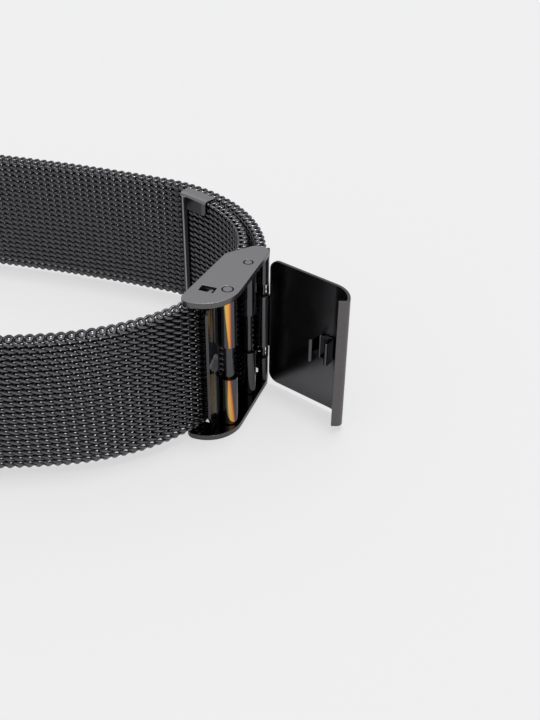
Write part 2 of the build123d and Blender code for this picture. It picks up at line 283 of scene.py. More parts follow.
# %% [markdown]
# ## Paths
#
# In plan the band and all its sheet metal are paths of straight runs and tangent bends, as the
# CAD model's are. A point is found by how far along the path it lies, and a second number says
# how far to its left it stands, so any strip or wire can be laid along any path.


# %% Points along a path
def step(x, y, heading, size, turn, gone):
    """Where a point is after going some way along one run or bend: x, y and heading.

    Along a run the heading stays. Round a bend the point goes round the bend's centre, so x grows
    by side * radius * (sin heading - sin first heading), and y by side * radius * (cos first
    heading - cos heading).
    """
    if turn == 0:
        return x + gone * math.cos(heading), y + gone * math.sin(heading), heading
    side = math.copysign(1, turn)
    faces = heading + side * gone / size
    x = x + side * size * (np.sin(faces) - math.sin(heading))
    y = y + side * size * (math.cos(heading) - np.cos(faces))
    return x, y, faces


def path_length(moves):
    """The sum of the runs and the bends' arcs."""
    return sum(size if turn == 0 else abs(math.radians(turn)) * size for size, turn in moves)


def follow(start, moves, along, left):
    """X, y and heading at lengths along a path of (length, 0) runs and (radius, turn) bends.

    Each point is then moved to the path's left, by left * (-sin heading, cos heading). Before the
    start and after the end the path goes straight on.
    """
    x, y, heading = start[0], start[1], math.radians(start[2])
    begin = 0.0
    along, left = np.broadcast_arrays(np.asarray(along, float), np.asarray(left, float))
    at_x, at_y, faces = (np.array(value + 0 * along) for value in step(x, y, heading, 0, 0, along))
    for size, turn in list(moves) + [(1.0, 0)]:
        on = along > begin
        at_x[on], at_y[on], faces[on] = step(x, y, heading, size, turn, along[on] - begin)
        length = path_length([(size, turn)])
        x, y, heading = step(x, y, heading, size, turn, length)
        begin += length
    return at_x - left * np.sin(faces), at_y + left * np.cos(faces), faces


def end_of(start, moves):
    """Where a path ends: x, y and heading in degrees."""
    x, y, _ = follow(start, moves, path_length(moves) - 1e-9, 0)
    return float(x), float(y), start[2] + sum(turn for _, turn in moves)


def beside(start, left, along=0):
    """A start moved to its left and straight on, with the same heading."""
    x, y, _ = follow(start, [], along, left)
    return float(x), float(y), start[2]


def backwards(start, moves):
    """The same path walked from its other end."""
    x, y, heading = end_of(start, moves)
    return (x, y, heading + 180), [(size, -turn) for size, turn in reversed(moves)]


# %% The band's own paths, with bends as (radius, turn) and runs as (length, 0)
BAND_WIDTH = 20.0
BAND_THICK = 1.7
BAND_FOOT = 1.0
MID_HEIGHT = BAND_FOOT + BAND_WIDTH / 2
LOOP_R = 22.95
TAIL_START = (-15.603, 21.4557, -13.5)
TAIL_MOVES = [(21.0, -28.8524), (15.96, -47.6476), (4.3606, 0)]
CLASP_MOVES = [(16.52, -23.5), (25.93, -11.5)]
MIDDLE_MOVES = [(1.13 * LOOP_R, -15.5), (1.48 * LOOP_R, -13), (4.8 * LOOP_R, -4), (4.15 * LOOP_R, -7)]
LONG_END_MOVES = [(4.15 * LOOP_R, -24), (6.0, 0)]
SHORT_START = (1.3214, 8.1279, 108.0)
LOOP_MOVES = [(LOOP_R, 72)]
SHORT_END_MOVES = [(9.6 * LOOP_R, 7), (5.65 * LOOP_R, 11), (4.0, 0)]
LONG_MOVES = TAIL_MOVES + CLASP_MOVES + MIDDLE_MOVES + LONG_END_MOVES
SHORT_MOVES = LOOP_MOVES + SHORT_END_MOVES
print("halves", round(path_length(LONG_MOVES), 1), "and", round(path_length(SHORT_MOVES), 1), "mm long")

# %% [markdown]
# ## Finishes
#
# All the metal is coated or bare steel. Coated steel mirrors darkly, so each finish is a metal
# with a dark base colour. Paint under a clear coat would look milky. Two effects are shared: fine
# brushed grain, and faint handling marks that change the gloss. Each is a node group that is
# built once and placed with its own values.


# %% Brushed grain
def make_grain():
    """Fine scratches: noise on coordinates squeezed along the brushing, as a tone and as a bump.

    The tone is 1 + spread * (noise - 0.5).
    """
    inputs = {"Vector": "Vector", "Stretch": "Vector", "Depth": "Float", "Spread": "Float"}
    group, given, result = new_group("brushed_grain", inputs, {"Tone": "Float", "Normal": "Vector"})
    squeeze = add(group, "ShaderNodeVectorMath", operation="MULTIPLY")
    noise = add(group, "ShaderNodeTexNoise", {"Scale": 1.0, "Detail": 4.0, "Roughness": 0.62})
    centred = add(group, "ShaderNodeMath", {1: 0.5}, operation="SUBTRACT")
    tone = add(group, "ShaderNodeMath", {2: 1.0}, operation="MULTIPLY_ADD")
    bump = add(group, "ShaderNodeBump", {"Distance": 0.00002})
    connect(
        group,
        (given, "Vector", squeeze, 0),
        (given, "Stretch", squeeze, 1),
        (squeeze, 0, noise, "Vector"),
        (noise, 0, centred, 0),
        (centred, 0, tone, 0),
        (given, "Spread", tone, 1),
        (noise, 0, bump, "Height"),
        (given, "Depth", bump, "Strength"),
        (tone, 0, result, "Tone"),
        (bump, 0, result, "Normal"),
    )
    return group


GRAIN = make_grain()
print(GRAIN.name, len(GRAIN.nodes), "nodes")


# %% Handling marks
def make_marks():
    """Faint smudges: broad noise stretched to run from Low to High, for a change of gloss."""
    inputs = {"Vector": "Vector", "Scale": "Float", "Low": "Float", "High": "Float"}
    group, given, result = new_group("handling_marks", inputs, {"Value": "Float"})
    noise = add(group, "ShaderNodeTexNoise", {"Detail": 3.0, "Roughness": 0.55, "Distortion": 0.6})
    spread = add(group, "ShaderNodeMapRange", {"From Min": 0.3, "From Max": 0.7})
    connect(
        group,
        (given, "Vector", noise, "Vector"),
        (given, "Scale", noise, "Scale"),
        (noise, 0, spread, "Value"),
        (given, "Low", spread, "To Min"),
        (given, "High", spread, "To Max"),
        (spread, 0, result, "Value"),
    )
    return group


MARKS = make_marks()
print(MARKS.name, len(MARKS.nodes), "nodes")


# %% One coated metal from the two groups
def finish_nodes(tree, where, color, stretch, depth, spread, gloss, mark_scale):
    """The sockets of one finish: its colour scaled by the grain's tone, its roughness and its normal."""
    scratches = {"Stretch": stretch, "Depth": depth, "Spread": spread}
    smudges = {"Scale": mark_scale, "Low": gloss[0], "High": gloss[1]}
    grain = add(tree, "ShaderNodeGroup", scratches, node_tree=GRAIN)
    marks = add(tree, "ShaderNodeGroup", smudges, node_tree=MARKS)
    tint = add(tree, "ShaderNodeVectorMath", {0: color}, operation="SCALE")
    connect(
        tree,
        (where, "Object", grain, "Vector"),
        (where, "Object", marks, "Vector"),
        (grain, "Tone", tint, "Scale"),
    )
    return tint.outputs[0], marks.outputs["Value"], grain.outputs["Normal"]


def coated_metal(name, finish, *others):
    """A metal with one finish, and each other one where its mesh's attribute of that name is 1."""
    material = bpy.data.materials.new(name)
    material.use_nodes = True
    tree = material.node_tree
    shader = tree.nodes["Principled BSDF"]
    shader.inputs["Metallic"].default_value = 1.0
    where = add(tree, "ShaderNodeTexCoord")
    sockets = finish_nodes(tree, where, *finish)
    for label, other in others:
        share = add(tree, "ShaderNodeAttribute", attribute_name=label).outputs["Fac"]
        pairs = zip(("RGBA", "FLOAT", "VECTOR"), sockets, finish_nodes(tree, where, *other))
        sockets = [mixed(tree, kind, share, one, two) for kind, one, two in pairs]
    for socket, label in zip(sockets, ("Base Color", "Roughness", "Normal")):
        tree.links.new(socket, shader.inputs[label])
    return material


# %% The finishes: colour, the grain's squeeze, depth and spread, roughness from and to, the marks' scale
SATIN = ((0.3, 0.294, 0.306), (9000, 2600, 9000), 0.3, 0.2, (0.38, 0.42), 300)
RIM = ((0.13, 0.122, 0.124), (5000, 5000, 5000), 0.25, 0.5, (0.28, 0.36), 400)
GLOSS = ((0.085, 0.085, 0.09), (3000, 3000, 600), 0.02, 0.1, (0.04, 0.07), 200)
SMOKE = ((0.115, 0.115, 0.121), (2000, 2000, 700), 0.02, 0.1, (0.2, 0.25), 150)
WIRE = ((0.195, 0.195, 0.208), (4000, 4000, 4000), 0.1, 0.4, (0.22, 0.3), 500)
# Painted shade: a near-black finish that stands in for shade deep in the weave and on the tail cap.
PAINTED_SHADE = ((0.022, 0.022, 0.024), (4000, 4000, 4000), 0.1, 0.4, (0.3, 0.4), 500)
SPRING = ((0.5, 0.5, 0.51), (6000, 6000, 2000), 0.1, 0.2, (0.2, 0.3), 900)
satin_steel = coated_metal("satin_steel", SATIN, ("rim", RIM), ("glossy", GLOSS))
# On the plate, the lighter finish gives pin ends and the tail cap's ears their finish and paints a
# highlight along the cap's crest; the near-black finish paints shade on the cap.
black_plate = coated_metal("black_plate", GLOSS, ("satin_and_rim_highlight", RIM), ("satin_and_crest_highlight", SATIN), ("painted_cap_shade", PAINTED_SHADE))
smoky_plate = coated_metal("smoky_plate", SMOKE, ("satin_and_rim_highlight", RIM))
pin_steel = coated_metal("pin_steel", GLOSS, ("satin_and_crest_highlight", SATIN))
# The wire takes the painted shade where it lies deep inside the mesh.
black_mesh = coated_metal("black_mesh", WIRE, ("crevice", PAINTED_SHADE))
spring_steel = coated_metal("spring_steel", SPRING)
print("materials:", [material.name for material in bpy.data.materials])


# %% Marking faces and dressing a finished piece
def face_heights(piece):
    """The height of the middle of each face, in millimetres."""
    centres = np.zeros(3 * len(piece.data.polygons))
    piece.data.polygons.foreach_get("center", centres)
    return centres[2::3] / MM


def mark_faces(piece, name, values):
    """Writes a number to each face, for a material to read."""
    attribute = piece.data.attributes.new(name, "FLOAT", "FACE")
    attribute.data.foreach_set("value", np.asarray(values, np.float32))


def dress(piece, body, material, slot, *replaced):
    """Gives a piece its material and its body, and hides the CAD nodes that it stands for. slot is not
    used.
    """
    piece.data.materials.append(material)
    if body:
        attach(piece, body)
    if replaced:
        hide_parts(*replaced)


# %% [markdown]
# ## The woven wire
#
# The mesh is a row of flattened wire coils whose axes run across the band, each threaded through
# the next, so their turns alternate like the fingers of two hands. A coil is a helix squeezed
# flat, and a small circle carried along it gives the wire. A texture can't show the gaps between
# the wires or the scalloped edge, so the coils are real geometry, with few faces each because
# there are thousands of turns.

# %% Sizes of the weave
COIL_SPACING = 1.22
WIRE_R = 0.22
COIL_REACH = 0.9
EDGE_REACH = 0.5
TURNS = 23.5
STEPS = 12  # of a turn
SIDES = 5  # of the wire
EDGE_TURNS = 0.75  # level ones, at each edge
FULL_REACH_TURNS = (0.5, 1.5)  # from an edge, between which the reach grows
CLOSED_SHARE = 0.2  # of the reach, left at a coil's very end
CLOSING_TURNS = 0.6
CLOSING_POWER = 0.6
END_DEPTH_SHARE = 0.3
FLATNESS = 0.72
LEVEL_TURN = 0.116
PAINTED_SHADE_FROM = 0.5  # from the middle of the mesh's thickness
PAINTED_SHADE_FADE = 0.36
print("wire", 2 * WIRE_R, "mm thick,", TURNS, "turns a coil")


# %% One coil
def coil_line():
    """The line through one coil's wire, its turn angles, and how far each point is from the edges, 0 to 1.

    At turn angle p the wire lies at (reach * cos p) along the path and at the half thickness * sin
    p to its left, with the sine raised to a power below one, which flattens the faces. It steps
    down by one pitch each turn. A share of sin 2p added to the height keeps the wire level where
    it goes through the mesh, so all of the fall is on the faces, and there the strands of
    neighbouring coils lie half a pitch apart. In the last part of a turn at each edge the reach
    shrinks and the wire winds in on itself.
    """
    turn = np.arange(int(TURNS * STEPS) + 1) / STEPS
    angle = 2 * np.pi * turn
    from_edge = np.minimum(turn, TURNS - turn)
    inside = np.interp(from_edge, FULL_REACH_TURNS, (0, 1))
    closing = CLOSED_SHARE + (1 - CLOSED_SHARE) * np.clip(from_edge / CLOSING_TURNS, 0, 1) ** CLOSING_POWER
    reach = (EDGE_REACH + (COIL_REACH - EDGE_REACH) * inside) * closing
    depth = (BAND_THICK / 2 - WIRE_R) * (END_DEPTH_SHARE + (1 - END_DEPTH_SHARE) * closing)
    fall = np.clip((turn - EDGE_TURNS) / (TURNS - 2 * EDGE_TURNS), 0, 1)
    height = BAND_FOOT + WIRE_R + (BAND_WIDTH - 2 * WIRE_R) * (1 - fall)
    line = np.stack((
        reach * np.cos(angle),
        depth * np.sign(np.sin(angle)) * np.abs(np.sin(angle)) ** FLATNESS,
        height + LEVEL_TURN * inside * np.sin(2 * angle),
    ), axis=-1)
    return line, angle, inside


def wire_skin(line, angle):
    """Circles about the line: its point + wire radius * (outward * cos + sideways * sin)."""
    ahead = np.gradient(line, axis=0)
    ahead /= np.linalg.norm(ahead, axis=1, keepdims=True)
    out = np.stack((np.cos(angle), np.sin(angle), np.zeros(len(angle))), axis=-1)
    out -= ahead * np.sum(ahead * out, axis=1, keepdims=True)
    out /= np.linalg.norm(out, axis=1, keepdims=True)
    sideways = np.cross(ahead, out)
    around = 2 * np.pi * np.arange(SIDES)[:, None] / SIDES
    return line[:, None] + WIRE_R * (out[:, None] * np.cos(around) + sideways[:, None] * np.sin(around))


coil, coil_angle, coil_inside = coil_line()
skin = wire_skin(coil, coil_angle)
print("one coil:", skin.shape[:2], "points")


# %% Coils laid along a path
def weave(name, start, moves, centres):
    """One coil at each centre along the path.

    A point of the skin goes as far along the path and to its left as it stands from the coil's
    middle. It also says how deep in the mesh it lies, because the wire is painted darker in there:
    painted shade where the turns shade each other.
    """
    along = skin[..., 0] + centres[:, None, None]
    left, height = (np.broadcast_to(skin[..., axis], along.shape) for axis in (1, 2))
    x, y, _ = follow(start, moves, along, left)
    index = np.arange(along.size).reshape(along.shape)
    nearby = np.roll(index, -1, axis=2)
    quads = np.stack((index[:, :-1], nearby[:, :-1], nearby[:, 1:], index[:, 1:]), axis=-1).reshape(-1, 4)
    caps = np.concatenate((index[:, 0, ::-1], index[:, -1]))
    # Painted shade: 1 deep inside the mesh's thickness, fading to 0 towards its faces and its edges.
    shade_share = 1 - np.clip((np.abs(left) - PAINTED_SHADE_FROM) / PAINTED_SHADE_FADE, 0, 1)
    shade_share = shade_share * np.sqrt(coil_inside)[:, None]
    piece = put(name, np.stack((x, y, height), axis=-1), quads, caps, crevice=shade_share)
    print(name, len(centres), "coils,", len(quads) * 2 + len(caps) * (SIDES - 2), "triangles")
    return piece


def point_on(start, moves, along):
    """A point of the path at mid width, in metres."""
    x, y, _ = follow(start, moves, along, 0)
    return (float(x) * MM, float(y) * MM, MID_HEIGHT * MM)


# %% [markdown]
# ## Both halves of the band
#
# The long half runs from its capped tail through the clasp to one watch end, and the short half
# from the clasp to the other. Real mesh bends evenly, and the joints are single hinges. A piece of
# the weave that crosses a joint is attached to no body: its place is baked into its mesh. Each
# piece ends where nothing bends.

# %% Both halves, as pieces with their node, where they end, their bodies and the joint they cross
FLEX_REACH = 4.0
BEFORE_FLEX = FLEX_REACH + COIL_REACH
NEAR_FLEX = path_length(TAIL_MOVES + CLASP_MOVES)
FAR_FLEX = NEAR_FLEX + path_length(MIDDLE_MOVES)
SHORT_FLEX = path_length(LOOP_MOVES)
SHORT_LENGTH = path_length(SHORT_MOVES)
LONG_PIECES = (
    ("tail_weave", "long_mesh_clasp", NEAR_FLEX - BEFORE_FLEX, ("frame",), None),
    ("near_weave", "long_mesh_middle", (NEAR_FLEX + FAR_FLEX) / 2, ("frame", "long_middle"), NEAR_FLEX),
    ("far_weave", "long_mesh_end", path_length(LONG_MOVES), ("long_middle", "long_end"), FAR_FLEX),
)
SHORT_PIECES = (
    ("short_clasp_weave", "short_mesh_clasp", SHORT_FLEX - BEFORE_FLEX, ("short_clasp",), None),
    ("short_end_weave", "short_mesh_end", SHORT_LENGTH, ("short_clasp", "short_end"), SHORT_FLEX),
)
HALVES = ((TAIL_START, LONG_MOVES, LONG_PIECES), (SHORT_START, SHORT_MOVES, SHORT_PIECES))
for half_start, half_moves, pieces in HALVES:
    first = COIL_REACH + WIRE_R
    last = path_length(half_moves) - COIL_REACH
    centres = np.linspace(first, last, round((last - first) / COIL_SPACING) + 1)
    begin = 0
    for name, node, end, bodies, flex in pieces:
        piece = weave(name, half_start, half_moves, centres[(centres >= begin) & (centres < end)])
        dress(piece, None if flex else bodies[0], black_mesh, "black_mesh", node)
        if flex:
            before, after = (point_on(half_start, half_moves, flex + way * FLEX_REACH) for way in (-1, 1))
            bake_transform(piece)
        begin = end

# %% [markdown]
# ## Sheet metal
#
# The flap, the two leaves, the cover and its clip are bent from sheet. In plan each is a path
# with an even thickness, and across the band it is straight, so a grid of path lengths against
# heights describes it. Cells of the grid that the real sheet has notched out are left off, and a
# wall closes the sheet wherever a kept cell meets a cut one. A Bevel modifier then rounds the cut
# edges, which is what catches the light along the rims. The walls also take a lighter, rougher
# finish, which is partly a painted highlight along the rims.

# %% Sizes that the sheet metal shares
SHEET = 0.4
LEAF_OFFSET = 1.05
LEAF_WIDTH = 20.1
LATCH_PIN_AT = (1.3, -3.6)
LATCH_PIN_R = 0.7
HOOK_PIN_AT = (1.3, 3.6)
HOOK_PIN_R = 0.6
BEVEL_FROM = math.radians(50)
BEND_STEP = 5  # degrees between the lines of a bend


# %% A sheet from a grid with cells left out
def thick_sheet(name, left, right, keep, edge, satin_and_rim_highlight, **values):
    """A closed sheet between two grids of points, with a wall wherever a kept cell has no neighbour.

    Its last argument before the values gives, for the left face, the right face and the walls,
    how much of the rims' lighter, rougher finish they take, 0 being glossy. On the walls that
    finish is partly a painted highlight along the rims.
    """
    rows, columns = left.shape[:2]
    shift = rows * columns
    index = np.arange(shift).reshape(rows, columns)
    padded = np.pad(keep, 1)
    corner = (index[:-1, :-1], index[1:, :-1], index[1:, 1:], index[:-1, 1:])
    faces = [np.stack(corner, -1)[keep], np.stack(corner[::-1], -1)[keep] + shift]
    open_sides = (
        (keep & ~padded[:-2, 1:-1], 0, 3),
        (keep & ~padded[1:-1, :-2], 1, 0),
        (keep & ~padded[2:, 1:-1], 2, 1),
        (keep & ~padded[1:-1, 2:], 3, 2),
    )
    for bare, one, other in open_sides:
        a = corner[one][bare]
        b = corner[other][bare]
        faces.append(np.stack((a, b, b + shift, a + shift), -1))
    points = np.concatenate((left.reshape(-1, 3), right.reshape(-1, 3)))
    doubled = {label: np.tile(value.ravel(), 2) for label, value in values.items()}
    piece = put(name, points, outward(points, np.concatenate(faces)), **doubled)
    left_satin, right_satin = (np.broadcast_to(value, keep.shape)[keep] for value in satin_and_rim_highlight[:2])
    # The walls' lighter finish is partly a painted highlight along the rims.
    walls = np.full(sum(len(some) for some in faces[2:]), satin_and_rim_highlight[2])
    mark_faces(piece, "satin_and_rim_highlight", np.concatenate((left_satin, right_satin, walls)))
    bevel = piece.modifiers.new("rolled_edge", "BEVEL")
    bevel.width = edge * MM
    bevel.segments = 2
    bevel.limit_method = "ANGLE"
    bevel.angle_limit = BEVEL_FROM
    bevel.harden_normals = True
    print(name, len(faces[0]), "cells")
    return piece


# %% A sheet bent along a path
def path_lines(moves, extra=()):
    """Lengths along a path for a grid's rows: the ends of runs, steps round a bend, and the extra ones."""
    lines = [0.0]
    for size, turn in moves:
        steps = 1 if turn == 0 else max(2, math.ceil(abs(turn) / BEND_STEP))
        lines += list(lines[-1] + path_length([(size, turn)]) * np.arange(1, steps + 1) / steps)
    return np.unique(np.round(np.concatenate((lines, extra)), 6))


def between(lines):
    """The middles of the cells between a grid's lines."""
    return (lines[:-1] + lines[1:]) / 2


def bent_sheet(
    name, start, moves, heights, cut=None, extra=(), corner=None, thick=SHEET, shift=0, edge=0.07,
    satin_and_rim_highlight=(0, 0, 0.6), **values,
):
    """A sheet along a path: its two faces stand half its thickness left and right of the shifted path.

    heights are the grid's lines across the band, from mid width. cut(s, z) is true for the cells
    to leave out, at their middles. corner says where the outermost lines are rounded off. values
    are functions of s and z whose results become values of the points.
    """
    heights = np.array(heights, float)
    lines = path_lines(moves, extra)
    s, z = np.meshgrid(lines, heights, indexing="ij")
    if corner:
        z = np.where(np.abs(z) == heights.max(), z - np.sign(z) * corner_inset(s, *corner), z)
    keep = np.ones((len(lines) - 1, len(heights) - 1), bool)
    if cut:
        keep &= ~cut(between(lines)[:, None], between(heights))
    sides = []
    for offset in (shift + thick / 2, shift - thick / 2):
        x, y, _ = follow(start, moves, s, offset)
        sides.append(np.stack((x, y, z + MID_HEIGHT), axis=-1))
    named = {label: value(s, z) for label, value in values.items()}
    return thick_sheet(name, *sides, keep, edge, satin_and_rim_highlight, **named)


def leaf_lines(inner):
    """Lines across a leaf: its two edges, and one each side of mid width at the inner distance."""
    return (-LEAF_WIDTH / 2, -inner, inner, LEAF_WIDTH / 2)


# %% Round corners of a sheet, given as where they start, which way they go, 1 or -1, and the radius
def corner_lines(at, way, radius, degrees):
    """Lengths of the lines of a quarter circle: radius * (1 - cos angle) from its outer end."""
    return at + way * radius * (1 - np.cos(np.radians(np.arange(0, 91, degrees))))


def corner_inset(s, at, way, radius):
    """How far a round corner stands in from the square one.

    With q the share of the radius that is left to the corner's inner end, it is radius * (1 - the
    square root of (1 - q * q)).
    """
    left = np.clip(1 - way * (s - at) / radius, 0, 1)
    return radius * (1 - np.sqrt(1 - left ** 2))


# %% [markdown]
# ## Painted reflection on the flap's curl
#
# The curl of the flap has a painted reflection: a stripe of yellow, orange and purple, like the
# colours of a very thin coating, painted where the curl reflects the light towards the camera.
# They are the colour of the metal's own reflection, so a ramp gives the base colour of the metal.
# Two values of the mesh's points say how far a point lies from the stripe's two borders, and each
# border fades over its own width.

# %% Black plate with a stripe of painted reflection
PAINTED_REFLECTION_COLORS = (
    (0.0, (0.1, 0.06, 0.13, 1)),
    (0.06, (0.42, 0.08, 0.06, 1)),
    (0.15, (0.72, 0.17, 0.03, 1)),
    (0.32, (0.78, 0.42, 0.07, 1)),
    (0.6, (0.72, 0.52, 0.18, 1)),
    (0.78, (0.34, 0.22, 0.14, 1)),
    (0.9, (0.12, 0.08, 0.11, 1)),
)
BORDER_FADES = {"to_right": 0.03, "from_left": 0.12}


def painted_reflection_plate():
    """The black plate, with the ramp's colours between the two borders of the stripe."""
    material = black_plate.copy()
    material.name = "painted_reflection_plate"
    tree = material.node_tree
    color = tree.nodes["Principled BSDF"].inputs["Base Color"]
    plain = color.links[0].from_socket
    ramp = color_ramp(tree, PAINTED_REFLECTION_COLORS)
    both = add(tree, "ShaderNodeMath", operation="MULTIPLY")
    for factor, (label, width) in enumerate(BORDER_FADES.items()):
        distance = add(tree, "ShaderNodeAttribute", attribute_name=label)
        border = add(tree, "ShaderNodeMapRange", {"From Max": width})
        connect(tree, (distance, "Fac", border, "Value"), (border, 0, both, factor))
        if label == "to_right":
            connect(tree, (distance, "Fac", ramp, "Fac"))
    tree.links.new(mixed(tree, "RGBA", both.outputs[0], plain, ramp.outputs["Color"]), color)
    return material


reflection_striped_plate = painted_reflection_plate()
print("painted_reflection colours:", len(PAINTED_REFLECTION_COLORS))

# %% [markdown]
# ## Locking flap
#
# The flap is the lever that locks the clasp on the mesh. It curls round the latch pin, with a
# notch that leaves the pin bare in the middle, and a plate leads down to the mesh. A turned
# profile would need a cut for the notch. Here it is a few cells that are left out, and the two
# round corners only move the grid's outer lines.

# %% Locking flap: a curl round the latch pin, then a plate that leads down to the mesh
FLAP_R = 0.95
FLAP_MOVES = [(FLAP_R, 300), (5.0, -20), (6.5, 14)]
FLAP_NOTCH = 5.2
NOTCH_PAST_CURL = 1.0
STRIPE_TAPER = 7.4  # over which the stripe changes, from the notch towards each end of the curl
STRIPE_ABOVE = ((0.85, 1.22), (0.35, 1.22))  # its borders at the notch and at the end, along the path
STRIPE_BELOW = ((0.68, 1.1), (0.51, 1.57))
flap_root = (LATCH_PIN_AT[0] - FLAP_R, LATCH_PIN_AT[1], -90)
flap_start = end_of(flap_root, [(FLAP_R, 360 - FLAP_MOVES[0][1])])
notch_end = path_length(FLAP_MOVES[:1]) + NOTCH_PAST_CURL
flap_corner = (path_length(FLAP_MOVES), -1, 2.2)


def stripe_border(z, side):
    """Where a border of the stripe lies at a height: it moves evenly from the notch to the curl's end."""
    away = np.clip((np.abs(z) - FLAP_NOTCH / 2) / STRIPE_TAPER, 0, 1)
    above, below = (
        near[side] + (far[side] - near[side]) * away for near, far in (STRIPE_ABOVE, STRIPE_BELOW)
    )
    return np.where(z > 0, above, below)


# The stripe's borders, painted where the curl reflects the light towards the camera: a painted reflection.
flap = bent_sheet(
    "locking_flap_sheet", flap_start, FLAP_MOVES, leaf_lines(FLAP_NOTCH / 2),
    cut=lambda s, z: (s < notch_end) & (np.abs(z) < FLAP_NOTCH / 2),
    extra=(notch_end, *corner_lines(*flap_corner, 10)), corner=flap_corner, edge=0.15, satin_and_rim_highlight=(0, 0, 0),
    to_right=lambda s, z: stripe_border(z, 1) - s, from_left=lambda s, z: s - stripe_border(z, 0),
)
dress(flap, "flap", reflection_striped_plate, "black_plate", "locking_flap")

# %% [markdown]
# ## The two leaves
#
# The short half of the mesh is gripped between two leaves. The inner one ends in a hook for the
# hook pin, and the outer one carries the cover's hinge. Their grips follow the mesh with a
# smaller and a larger radius. A modifier could bend flat strips, but a path keeps the CAD
# model's radii.

# %% Hook leaf: a hook round the hook pin, a straight arm, and a grip on the mesh's inner face
GRIP_TURN = 3.2455
HOOK_R = 0.85
HOOK_CURL = 215
HOOK_NOTCH = 6.2
NOTCH_PAST_HOOK = 1.2
HOOK_ARM = [(3.4, 0), (2.6, 18), (LOOP_R - LEAF_OFFSET, GRIP_TURN)]
hook_root = (HOOK_PIN_AT[0] - HOOK_R, HOOK_PIN_AT[1], -90)
hook_start, hook_curl = backwards(hook_root, [(HOOK_R, HOOK_CURL)])
hook_notch_end = path_length(hook_curl) + NOTCH_PAST_HOOK
hook_leaf = bent_sheet(
    "hook_leaf_sheet", hook_start, hook_curl + HOOK_ARM, leaf_lines(HOOK_NOTCH / 2),
    cut=lambda s, z: (s < hook_notch_end) & (np.abs(z) < HOOK_NOTCH / 2), extra=(hook_notch_end,),
)
dress(hook_leaf, "short_clasp", black_plate, "black_plate", "hook_leaf")

# %% Hinge leaf: a grip on the mesh's outer face, an arm, and a knuckle at each edge
KNUCKLE_R = 0.52
KNUCKLE_TURN = 280
HINGE_LEAF_MOVES = [(LOOP_R + LEAF_OFFSET, -GRIP_TURN), (1.27, 0), (1.0, -18), (KNUCKLE_R, -KNUCKLE_TURN)]
WINDOW_HALF = LEAF_WIDTH / 2 - 3.9  # between the two knuckles
WINDOW_PAST_GRIP = 0.35
grip_x, grip_y, grip_heading = beside(end_of(SHORT_START, [(LOOP_R, GRIP_TURN)]), -LEAF_OFFSET)
window_at = path_length(HINGE_LEAF_MOVES[:1]) + WINDOW_PAST_GRIP
hinge_leaf = bent_sheet(
    "hinge_leaf_sheet", (grip_x, grip_y, grip_heading + 180), HINGE_LEAF_MOVES, leaf_lines(WINDOW_HALF),
    cut=lambda s, z: (s > window_at) & (np.abs(z) < WINDOW_HALF), extra=(window_at,),
)
dress(hinge_leaf, "short_clasp", black_plate, "black_plate", "hinge_leaf")

# %% [markdown]
# ## Cover and spring clip
#
# The cover is a smoky plate with a knuckle at its hinge and a rolled lip. Inside it sits a clip
# of thin spring sheet, folded to and fro, which takes hold of the latch pin when the cover is
# shut. The cover's outer face takes a rougher finish than the inner one, and its cut edges a
# lighter one that is partly a painted highlight. A number for each face says so, which needs no
# second material.

# %% Cover: a knuckle in the middle, a flat plate with two round corners, a bend and a rolled lip
HINGE_AT = (2.2414, 6.9355)
COVER_HEADING = -18.0
COVER_RUN = 11.4855
COVER_MOVES = [(KNUCKLE_R, -KNUCKLE_TURN), (COVER_RUN, 0), (3.77, -62), (0.55, -80), (0.8, 0)]
COVER_EDGE = 0.82  # from the knuckle to the plate's own edge beside it
KNUCKLE_WIDTH = 8.4
cover_line = (*HINGE_AT, COVER_HEADING)
cover_start = end_of(beside(cover_line, KNUCKLE_R), [(KNUCKLE_R, KNUCKLE_TURN - 360)])
plate_at = path_length(COVER_MOVES[:1]) + COVER_EDGE
cover_corner = (plate_at, 1, 1.5)
cover_lines = corner_lines(*cover_corner, 15)
cover_outside = path_lines(COVER_MOVES, cover_lines)[1:, None] > plate_at
cover = bent_sheet(
    "cover_sheet", cover_start, COVER_MOVES, leaf_lines(KNUCKLE_WIDTH / 2),
    cut=lambda s, z: (s < plate_at) & (np.abs(z) > KNUCKLE_WIDTH / 2),
    extra=cover_lines, corner=cover_corner, satin_and_rim_highlight=(cover_outside, 0, 0.8),
)
dress(cover, "cover", smoky_plate, "black_plate", "cover_plate")

# %% Spring clip on the cover: a foot, a doubled leg with a hairpin, a floor and a flared wall
CLIP_SHEET = 0.2
CLIP_WIDTH = 3.6
CLIP_FOOT = 1.2
CLIP_BEND = 0.3
CLIP_HAIRPIN = 0.2
CLIP_REACH = 0.85
CLIP_CREST = 1.45
CLIP_WALL = [(CLIP_BEND, 84), (1.1, 0), (0.4, -35), (0.35, 0)]
clip_foot_at = SHEET / 2 - KNUCKLE_R + CLIP_SHEET / 2
clip_turn_at = CLIP_CREST - CLIP_SHEET / 2 - CLIP_HAIRPIN
clip_floor_at = HINGE_AT[0] - LATCH_PIN_AT[0] - CLIP_REACH
clip_moves = [
    (CLIP_FOOT, 0), (CLIP_BEND, -90), (clip_turn_at - clip_foot_at - CLIP_BEND, 0), (CLIP_HAIRPIN, -180),
    (clip_turn_at - clip_floor_at - CLIP_BEND, 0), (CLIP_BEND, 90), (2 * (CLIP_REACH - CLIP_BEND), 0),
] + CLIP_WALL
clip = bent_sheet(
    "cover_clip_sheet", beside(cover_line, -clip_foot_at, COVER_RUN - CLIP_FOOT), clip_moves,
    (-CLIP_WIDTH / 2, CLIP_WIDTH / 2), thick=CLIP_SHEET, edge=0.08, satin_and_rim_highlight=(0, 0, 0.3),
)
dress(clip, "cover", black_plate, "black_plate", "cover_clip")

